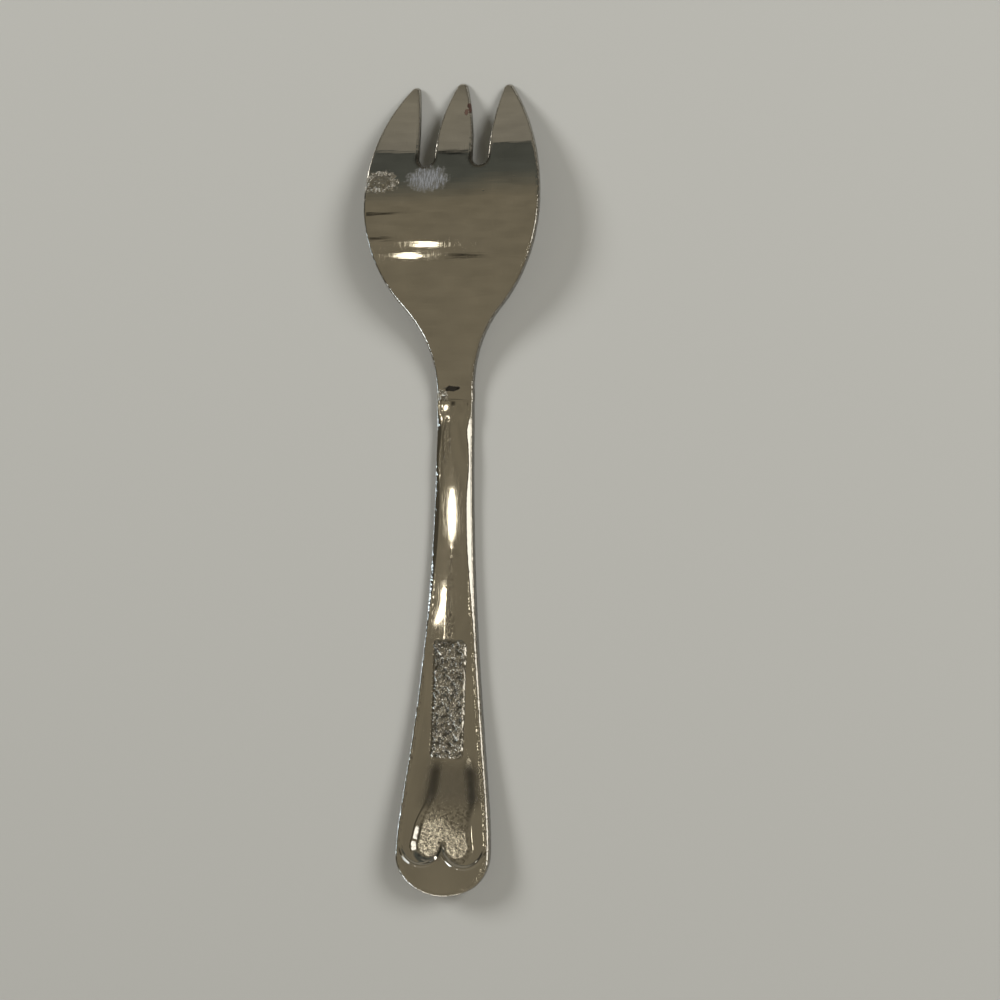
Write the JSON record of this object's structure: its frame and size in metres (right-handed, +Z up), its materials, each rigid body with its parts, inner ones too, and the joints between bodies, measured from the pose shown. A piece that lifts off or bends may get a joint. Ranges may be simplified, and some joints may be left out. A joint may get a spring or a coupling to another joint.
{
  "type": "oyster fork",
  "caption": "Small table fork with a broad arched head, short tapering tines and a narrow handle with a coined border, for lifting oysters from the shell.",
  "frame": {"origin": "middle of the base of the bounding box, on the table that the fork lies on", "axes": "+Y along the fork towards the tines, +Z up through the convex back, +X across the fork"},
  "size_m": [0.0328, 0.1483, 0.0085],
  "materials": {
    "plated_head": "polished plate with fine scratches",
    "plated_handle": "polished plate, worn on the rim, matt in the sunk field"
  },
  "bodies": {
    "root": {"fork_head": "plated_head", "handle": "plated_handle"}
  },
  "joints": []
}
